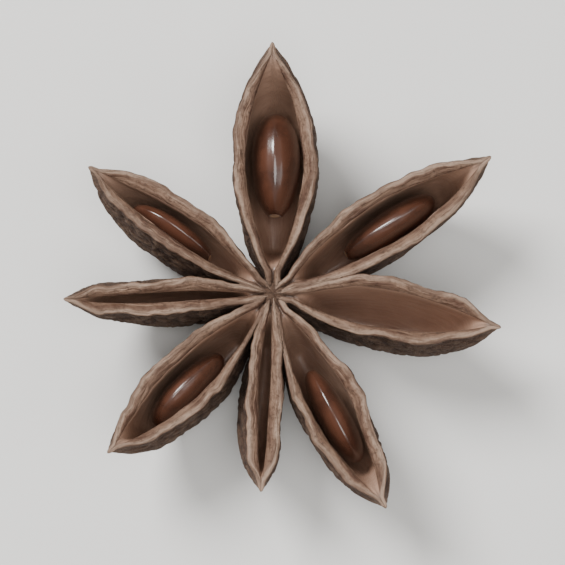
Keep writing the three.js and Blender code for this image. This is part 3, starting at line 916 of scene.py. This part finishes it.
class HuskFinish(Finish):
    """Wrinkled skin, paler woody lips and a satin lining, told apart by their zone: dust and
    painted highlight on the skin's ridges, painted shade in its creases and down in the hollows,
    and a painted highlight along the lips' crests.
    """

    TEXTURES = {
        "patches": Texture(0.3, 4),
        "blotches": Texture(0.95, 5, 0.6),
        "mottle": Texture(2.6, 4, 0.62),
        "speckle": Texture(5.2, 4, 0.68),
        "fibres": Texture((0.42, 3.4, 1), 4, 0.62),
        "fine_fibres": Texture((0.8, 9, 1), 2),
        "wrinkles": Texture((0.9, 1.5, 1), 3, 0.5, 0.6),
        "crinkles": Texture((2.1, 3.4, 1), 3, 0.55, 0.4),
    }
    WRINKLE_WIDTH, CRINKLE_WIDTH = 0.07, 0.08

    # How strongly each thing counts, as shares.
    # Painted shade in the crease and the folds; stains and grit are the skin's own.
    SKIN_SHADE_AND_STAINS = {"crease": 0.35, "folds": 0.3, "stains": 0.35, "grit": 0.25}
    LIP_DARK = {"streaks": 0.75, "stains": 0.45}
    # Specks of skin left on the cut, and painted shade in the lip's creases.
    LIP_REMAINS_AND_SHADE = {"specks": 0.45, "crease": 0.35}
    # Painted highlight, partly rubbed, along the lips' crests, and how much the streaks break it.
    CREST_WEAR, STREAK_WEAR = 0.55, 0.7
    # Pale on the skin's ridges: painted highlight, partly dust in patches.
    LEAST_DUST, DUST = 0.25, 0.5
    # Painted shade: the first darkens the lining down in the hollow, and the third the inside of
    # the shut seam.
    GLOOM, TIP_WEAR, SEAM_DARK, VARNISH = 0.7, 0.35, 0.75, 0.45

    # Heights of the bumps, in millimetres.
    LINING_BUMPS = {"fibres": 0.05, "blotches": 0.08}
    LIP_BUMPS = {"fibres": 0.26, "fine_fibres": 0.08, "mottle": 0.14, "specks": -0.03}
    SKIN_BUMPS = {"mottle": 0.24, "speckle": 0.22, "folds": -0.13}

    def __init__(self, colours):
        super().__init__("anise_husk", IOR=1.45, Specular_IOR_Level=0.35, Coat_Roughness=0.24)
        self.colours = colours
        place, self.grain = self.place(), self.layer("grain", "Vector")
        wires = self.wires = {
            name: self.noise(self.grain if isinstance(texture.scale, tuple) else place, texture)
            for name, texture in self.TEXTURES.items()
        }
        wrinkles = wires["wrinkles"].lines(self.WRINKLE_WIDTH)
        crinkles = wires["crinkles"].lines(self.CRINKLE_WIDTH)
        mottle, speckle = wires["mottle"], wires["speckle"]
        relief, zone = self.layer("relief"), self.layer("zone")
        wires.update(
            folds=wrinkles * 0.6 + crinkles * 0.4,
            stains=wires["blotches"].between(0.46, 0.68),
            grit=speckle.between(0.54, 0.68),
            streaks=wires["fibres"].between(0.4, 0.6),
            specks=(mottle * 0.5 + speckle * 0.5).between(0.54, 0.64),
            # Painted highlight, partly dust, where the surface stands out, and painted shade where
            # it sinks in.
            ridge=(relief + speckle.swing(1.2)).between(-0.1, 0.75),
            crease=(0 - relief + speckle.swing(0.8)).between(-0.05, 0.6),
        )
        ragged = mottle.swing(0.9) + speckle.swing(0.5)
        self.is_skin = (zone + ragged).between(1.2, 1.6)
        self.is_lip = (zone + ragged * 0.3).between(0.3, 0.7)

    def weigh(self, shares):
        """The sum of the named wires, each times its share."""
        first, *others = (self.wires[name] * share for name, share in shares.items())
        return sum(others, first)

    def by_zone(self, lining, lip, skin):
        """One value from those of the three zones."""
        return mix(mix(lining, lip, self.is_lip), skin, self.is_skin)

    def skin_colour(self):
        """Pale on the ridges: dust in patches and painted highlight. Dark in the creases and folds:
        painted shade, with stains and grit.
        """
        dust = self.LEAST_DUST + self.wires["patches"].between(0.38, 0.62) * self.DUST
        # Painted highlight on the ridges, partly dust in patches.
        dust_and_highlight = (self.wires["ridge"] * dust).clamped()
        skin = self.blend(self.colours.skin, self.colours.skin_pale_and_lit, dust_and_highlight)
        # Painted shade in the creases and folds, with stains and grit.
        return self.blend(skin, self.colours.skin_dark_and_shade, self.weigh(self.SKIN_SHADE_AND_STAINS).clamped())

    def lip_colour(self):
        """Fibres that run along the lips, stains, specks of skin left on the cut, and a pale crest:
        a painted highlight along the top of each lip, partly a rubbed margin."""
        dark, remains = self.weigh(self.LIP_DARK), self.weigh(self.LIP_REMAINS_AND_SHADE)
        lip = self.blend(self.colours.lip, self.colours.lip_dark, dark.clamped())
        # Specks of skin, and painted shade in the lip's creases.
        lip = self.blend(lip, self.colours.skin_dark_and_shade, remains.clamped())
        # Millimetres in from the lip's outer edge.
        across = self.node("ShaderNodeSeparateXYZ", inputs={0: self.grain}, output=1)
        across = across + self.wires["mottle"].swing(0.3)
        # The crest: a painted highlight along the top of the lip, partly a rubbed margin.
        crest = across.between(0.02, 0.16) * (1 - across.between(0.22, 0.5))
        worn_and_lit = crest * self.CREST_WEAR * (1 - self.wires["streaks"] * self.STREAK_WEAR)
        return self.blend(lip, self.colours.lip_worn_and_lit, worn_and_lit.clamped())

    def lining_colour(self):
        """Painted shade: darker down in the hollow, with a faint grain."""
        # Painted shade by depth below the lips, varied by grain and blotches.
        shade_and_grain = self.layer("sunk") * self.GLOOM + self.wires["fibres"].swing(0.9)
        shade_and_grain = (shade_and_grain + self.wires["blotches"].swing(0.9)).clamped()
        return self.blend(self.colours.lining, self.colours.lining_shade, shade_and_grain)

    def make(self):
        """The finished material."""
        wood = self.blend(self.lining_colour(), self.lip_colour(), self.is_lip)
        base = self.blend(wood, self.skin_colour(), self.is_skin)
        along, fibres, speckle = self.layer("along"), self.wires["fibres"], self.wires["speckle"]
        base = self.blend(base, self.colours.lip_worn_and_lit, along.between(0.9, 1.0) * self.TIP_WEAR)
        # Painted shade in the shut seam.
        base = self.blend(base, self.colours.skin_dark_and_shade, self.layer("seam") * self.SEAM_DARK)
        varnish = (1 - self.is_lip) * (1 - self.is_skin) * (1 - along.between(0.78, 0.88))
        return self.finish(
            Base_Color=base,
            Roughness=self.by_zone(0.36 + fibres * 0.2, 0.5 + speckle * 0.3, 0.7 + speckle * 0.25),
            Coat_Weight=varnish * self.VARNISH,
            Normal=self.bump(self.by_zone(
                self.weigh(self.LINING_BUMPS), self.weigh(self.LIP_BUMPS),
                self.weigh(self.SKIN_BUMPS),
            )),
        )


class SeedFinish(Finish):
    """A hard, glossy, faintly clouded coat with a pale scar."""

    CLOUDS, SPECKS = Texture(0.7), Texture(9)
    CLOUD_DARK, LINE_DARK = 0.7, 0.35
    CLOUD_HEIGHT, SPECK_HEIGHT = 0.03, 0.004  # in millimetres

    def __init__(self, colours):
        super().__init__(
            "anise_seed", IOR=1.5, Coat_Weight=0.6, Coat_Roughness=0.08, Coat_IOR=1.5
        )
        self.colours = colours

    def make(self):
        """The finished material."""
        place, scar = self.place(), self.layer("scar")
        clouds, specks = self.noise(place, self.CLOUDS), self.noise(place, self.SPECKS)
        dark = clouds.between(0.42, 0.66) * self.CLOUD_DARK
        dark = (dark + self.layer("line") * self.LINE_DARK).clamped()
        coat = self.blend(self.colours.seed, self.colours.seed_dark, dark)
        base = self.blend(coat, self.colours.hilum, scar.between(0.2, 0.8))
        roughness = 0.2 + specks * 0.1 + scar * 0.4
        height = clouds * self.CLOUD_HEIGHT + specks * self.SPECK_HEIGHT
        return self.finish(Base_Color=base, Roughness=roughness, Normal=self.bump(height))


class FloorFinish(Finish):
    """A plain matt board."""

    MOTTLE, DARKER = Texture(0.05, 2), 0.97

    def __init__(self, tone):
        super().__init__("floor_board", Specular_IOR_Level=0.2)
        self.tone = tone

    def make(self):
        """The finished material."""
        mottle = self.noise(self.place(), self.MOTTLE)
        darker = tuple(channel * self.DARKER for channel in self.tone)
        board = self.blend(self.tone, darker, mottle)
        return self.finish(Base_Color=board, Roughness=0.9 + mottle * 0.05)


# ---- Operators ----
class ANISEPOD_OT_grow_husk(bpy.types.Operator):
    """Grow the husk with its eight follicles, its column and the stub of its stalk"""

    bl_idname = "anise_pod.grow_husk"
    bl_label = "Grow Husk"

    def execute(self, context):
        husk = HuskGrower(context.scene.anise_pod_sizes).fuse("pod_husk")
        if not husk.data.polygons:
            raise RuntimeError("the follicles could not be fused with the hub")
        husk.data.materials.append(HuskFinish(context.scene.anise_pod_colours).make())
        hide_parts("husk")
        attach(husk, BODY)
        return {"FINISHED"}


class ANISEPOD_OT_grow_seeds(bpy.types.Operator):
    """Grow a seed in every follicle that still holds one"""

    bl_idname = "anise_pod.grow_seeds"
    bl_label = "Grow Seeds"

    def execute(self, context):
        grower = SeedGrower(context.scene.anise_pod_sizes)
        finish = SeedFinish(context.scene.anise_pod_colours).make()
        filled = [follicle for follicle in FOLLICLES if follicle.seed]
        for number, follicle in enumerate(filled, start=1):
            seed = grower.grow(f"pod_seed_{number}", follicle)
            seed.data.materials.append(finish)
            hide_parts(f"seed_{number}")
            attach(seed, BODY)
        return {"FINISHED"}


class ANISEPOD_OT_set_stage(bpy.types.Operator):
    """Lay the floor, hang the lights and aim the camera"""

    bl_idname = "anise_pod.set_stage"
    bl_label = "Set Stage"

    FLOOR_SIDE = 1.6
    # Each light's direction from the pod, distance and size.
    KEY = Vector((-0.55, 0.5, 0.9)), 0.34, 0.16
    TOP = Vector((0.12, -0.3, 1.0)), 0.42, 0.3
    FILL = Vector((0.9, -0.35, 0.6)), 0.4, 0.3
    SKY_COLOUR, SKY_STRENGTH = (1.0, 0.98, 0.95, 1), 0.4
    CLIP_START = 0.01

    def add_light(self, name, setup, watts):
        direction, distance, size = setup
        lamp = bpy.data.lights.new(name, "AREA")
        lamp.shape, lamp.size, lamp.energy = "DISK", size, watts
        light = bpy.data.objects.new(name, lamp)
        light.location = direction.normalized() * distance
        light.rotation_euler = direction.to_track_quat("Z", "Y").to_euler()
        bpy.context.scene.collection.objects.link(light)

    def add_floor(self, scene, tone):
        half = self.FLOOR_SIDE / 2
        mesh = bpy.data.meshes.new("floor")
        corners = [(-half, -half, 0), (half, -half, 0), (half, half, 0), (-half, half, 0)]
        mesh.from_pydata(corners, [], [(0, 1, 2, 3)])
        mesh.materials.append(FloorFinish(tone).make())
        floor = bpy.data.objects.new("floor", mesh)
        scene.collection.objects.link(floor)

    def add_sky(self, scene):
        sky = bpy.data.worlds.new("sky")
        sky.use_nodes = True
        background = sky.node_tree.nodes["Background"].inputs
        background["Color"].default_value = self.SKY_COLOUR
        background["Strength"].default_value = self.SKY_STRENGTH
        scene.world = sky

    def add_camera(self, scene, stage):
        """A camera on the -Y side that looks down on the middle of the frame's box."""
        lens = bpy.data.cameras.new("camera")
        lens.lens, lens.clip_start = stage.lens, self.CLIP_START
        camera = bpy.data.objects.new("camera", lens)
        low, high = (Vector(corner) for corner in cad_box)
        distance = stage.view_height * stage.lens / lens.sensor_width
        back = Vector((0, -math.cos(stage.elevation), math.sin(stage.elevation)))
        camera.location = (low + high) / 2 + back * distance
        camera.rotation_euler = back.to_track_quat("Z", "Y").to_euler()
        scene.collection.objects.link(camera)
        scene.camera = camera

    def execute(self, context):
        scene, stage = context.scene, context.scene.anise_pod_stage
        self.add_floor(scene, stage.floor)
        self.add_light("key", self.KEY, stage.key_power)
        self.add_light("top", self.TOP, stage.top_power)
        self.add_light("fill", self.FILL, stage.fill_power)
        self.add_sky(scene)
        self.add_camera(scene, stage)
        return {"FINISHED"}


class ANISEPOD_PT_panel(bpy.types.Panel):
    """Settings of the pod, and the operators that make it"""

    bl_idname = "ANISEPOD_PT_panel"
    bl_label = "Star Anise Pod"
    bl_space_type = "VIEW_3D"
    bl_region_type = "UI"
    bl_category = "Star Anise"

    def draw(self, context):
        for group in GROUPS:
            settings, box = getattr(context.scene, group), self.layout.box()
            for name in settings.__annotations__:
                box.prop(settings, name)
        for operator in OPERATORS:
            self.layout.operator(operator.bl_idname)


GROUPS = {
    "anise_pod_sizes": AnisePodSizes,
    "anise_pod_colours": AnisePodColours,
    "anise_pod_stage": AnisePodStage,
}
OPERATORS = (ANISEPOD_OT_grow_husk, ANISEPOD_OT_grow_seeds, ANISEPOD_OT_set_stage)
CLASSES = (*GROUPS.values(), *OPERATORS, ANISEPOD_PT_panel)


def register():
    for cls in CLASSES:
        bpy.utils.register_class(cls)
    for name, group in GROUPS.items():
        setattr(bpy.types.Scene, name, PointerProperty(type=group))


def unregister():
    for name in GROUPS:
        delattr(bpy.types.Scene, name)
    for cls in reversed(CLASSES):
        bpy.utils.unregister_class(cls)


def main():
    register()
    bpy.ops.anise_pod.grow_husk()
    bpy.ops.anise_pod.grow_seeds()
    bpy.ops.anise_pod.set_stage()


if __name__ == "__main__":
    main()
